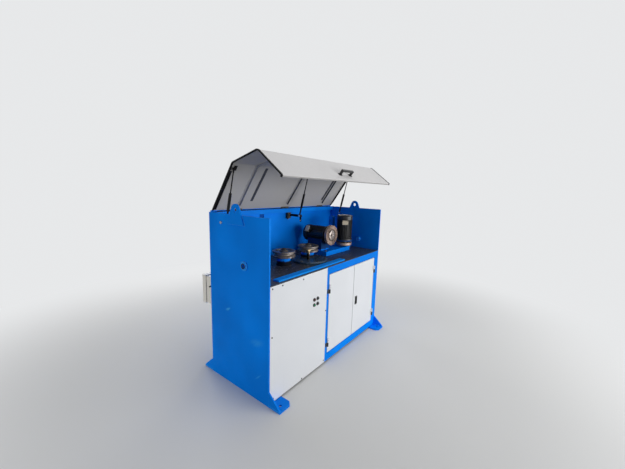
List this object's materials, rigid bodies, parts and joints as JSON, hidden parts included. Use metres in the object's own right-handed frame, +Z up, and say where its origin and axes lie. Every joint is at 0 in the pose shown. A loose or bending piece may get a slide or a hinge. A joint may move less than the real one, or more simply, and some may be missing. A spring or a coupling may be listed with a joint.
{
  "type": "wire drawing machine descaling head",
  "caption": "Plate-and-sheet cabinet with descaling wheels and motor-driven brushes on its deck, under a folded cover on gas struts, with double doors below.",
  "frame": {"origin": "on the floor, under the middle of the machine's whole outline, feet and rear box included", "axes": "+X along the wire towards its outlet, +Y from the doors to the back wall, +Z up"},
  "size_m": [1.728, 0.922, 1.7984],
  "materials": {
    "blue_paint": "gloss",
    "white_paint": "satin",
    "cover_grey": "satin",
    "box_cream": "satin",
    "oily_steel": "worn",
    "worn_steel": "worn",
    "bright_steel": "satin",
    "strut_black": "gloss",
    "dark_paint": "satin",
    "motor_black": "satin",
    "brass": "satin",
    "brush_wire": "matte",
    "rubber": "matte",
    "black_plastic": "satin",
    "green_plastic": "gloss",
    "red_plastic": "gloss"
  },
  "bodies": {
    "root": {"left_end_plate": "blue_paint", "right_end_plate": "blue_paint", "foot_plates": "blue_paint", "lifting_lugs": "blue_paint", "back_wall": "blue_paint", "rear_rail": "blue_paint", "deck": "oily_steel", "deck_bar": "blue_paint", "cabinet_floor": "blue_paint", "front_panel": "white_paint", "front_frame": "blue_paint", "wire_bushings": "blue_paint", "wheel_pedestals": "blue_paint", "base_disc": "oily_steel", "wire_guide": "brass", "motor_platform": "blue_paint", "horizontal_motor": "motor_black", "vertical_motor": "motor_black", "motor_column": "blue_paint", "terminal_boxes": "motor_black", "terminal_lids": "brass", "strut_bracket": "strut_black", "safety_switch": "brass", "junction_box": "box_cream", "junction_box_lid": "box_cream", "cover_hinge": "dark_paint", "strut_pins": "bright_steel", "door_hinges": "dark_paint", "button_collars": "black_plastic"},
    "cover": {"cover_hinge_leaf": "dark_paint", "cover_shell": "cover_grey", "cover_ribs": "dark_paint", "cover_trim": "rubber", "cover_handle": "black_plastic", "strut_ears": "strut_black"},
    "tube_left": {"strut_tube_left": "strut_black"},
    "tube_middle": {"strut_tube_middle": "strut_black"},
    "tube_right": {"strut_tube_right": "strut_black"},
    "rod_left": {"strut_rod_left": "strut_black"},
    "rod_middle": {"strut_rod_middle": "strut_black"},
    "rod_right": {"strut_rod_right": "strut_black"},
    "left_door": {"left_door": "white_paint"},
    "right_door": {"right_door": "white_paint", "door_latch": "black_plastic"},
    "wheel_1": {"wheel_1": "worn_steel"},
    "wheel_2": {"wheel_2": "worn_steel"},
    "horizontal_brush": {"horizontal_brush": "brush_wire"},
    "vertical_brush": {"vertical_brush": "brush_wire"},
    "button_green": {"button_green": "green_plastic"},
    "button_red": {"button_red": "red_plastic"},
    "button_black_1": {"button_black_1": "black_plastic"},
    "button_black_2": {"button_black_2": "black_plastic"}
  },
  "joints": [
    {"name": "cover_close", "type": "hinge", "parent": "root", "child": "cover", "pos_m": [0, 0.311, 1.36], "axis": [1, 0, 0], "range_deg": [0, 54.4]},
    {"name": "strut_turn_left", "type": "hinge", "parent": "root", "child": "tube_left", "pos_m": [-0.805, 0.163, 1.281], "axis": [1, 0, 0], "range_deg": [0, 62.06]},
    {"name": "strut_slide_left", "type": "slide", "parent": "tube_left", "child": "rod_left", "axis": [0, -0.2405, 0.9706], "range_m": [-0.1472, 0]},
    {"name": "strut_turn_middle", "type": "hinge", "parent": "root", "child": "tube_middle", "pos_m": [0.062, 0.163, 1.281], "axis": [1, 0, 0], "range_deg": [0, 62.06]},
    {"name": "strut_slide_middle", "type": "slide", "parent": "tube_middle", "child": "rod_middle", "axis": [0, -0.2405, 0.9706], "range_m": [-0.1472, 0]},
    {"name": "strut_turn_right", "type": "hinge", "parent": "root", "child": "tube_right", "pos_m": [0.805, 0.163, 1.281], "axis": [1, 0, 0], "range_deg": [0, 62.06]},
    {"name": "strut_slide_right", "type": "slide", "parent": "tube_right", "child": "rod_right", "axis": [0, -0.2405, 0.9706], "range_m": [-0.1472, 0]},
    {"name": "left_door_swing", "type": "hinge", "parent": "root", "child": "left_door", "pos_m": [-0.1255, -0.357, 0.455], "axis": [0, 0, -1], "range_deg": [0, 110]},
    {"name": "right_door_swing", "type": "hinge", "parent": "root", "child": "right_door", "pos_m": [0.7565, -0.357, 0.455], "axis": [0, 0, 1], "range_deg": [0, 110]},
    {"name": "wheel_1_spin", "type": "hinge", "parent": "root", "child": "wheel_1", "pos_m": [-0.35, -0.015, 0.992], "axis": [0, 0, 1], "continuous": true},
    {"name": "wheel_2_spin", "type": "hinge", "parent": "root", "child": "wheel_2", "pos_m": [-0.015, -0.015, 0.992], "axis": [0, 0, 1], "continuous": true},
    {"name": "horizontal_brush_spin", "type": "hinge", "parent": "root", "child": "horizontal_brush", "pos_m": [0.247, -0.099, 1.097], "axis": [0, 1, 0], "continuous": true},
    {"name": "vertical_brush_spin", "type": "hinge", "parent": "root", "child": "vertical_brush", "pos_m": [0.55, -0.071, 0.974], "axis": [0, 0, 1], "continuous": true},
    {"name": "button_green_press", "type": "slide", "parent": "root", "child": "button_green", "axis": [0, 1, 0], "range_m": [0, 0.004], "stiffness_N_per_m": 600, "springref_m": -0.001},
    {"name": "button_red_press", "type": "slide", "parent": "root", "child": "button_red", "axis": [0, 1, 0], "range_m": [0, 0.004], "stiffness_N_per_m": 600, "springref_m": -0.001},
    {"name": "button_black_1_press", "type": "slide", "parent": "root", "child": "button_black_1", "axis": [0, 1, 0], "range_m": [0, 0.004], "stiffness_N_per_m": 600, "springref_m": -0.001},
    {"name": "button_black_2_press", "type": "slide", "parent": "root", "child": "button_black_2", "axis": [0, 1, 0], "range_m": [0, 0.004], "stiffness_N_per_m": 600, "springref_m": -0.001}
  ],
  "couplings": [
    {"joint": "strut_turn_left", "follows": "cover_close", "ratio": 1.1406},
    {"joint": "strut_slide_left", "follows": "cover_close", "m_per_rad": -0.15494},
    {"joint": "strut_turn_middle", "follows": "cover_close", "ratio": 1.1406},
    {"joint": "strut_slide_middle", "follows": "cover_close", "m_per_rad": -0.15494},
    {"joint": "strut_turn_right", "follows": "cover_close", "ratio": 1.1406},
    {"joint": "strut_slide_right", "follows": "cover_close", "m_per_rad": -0.15494}
  ]
}
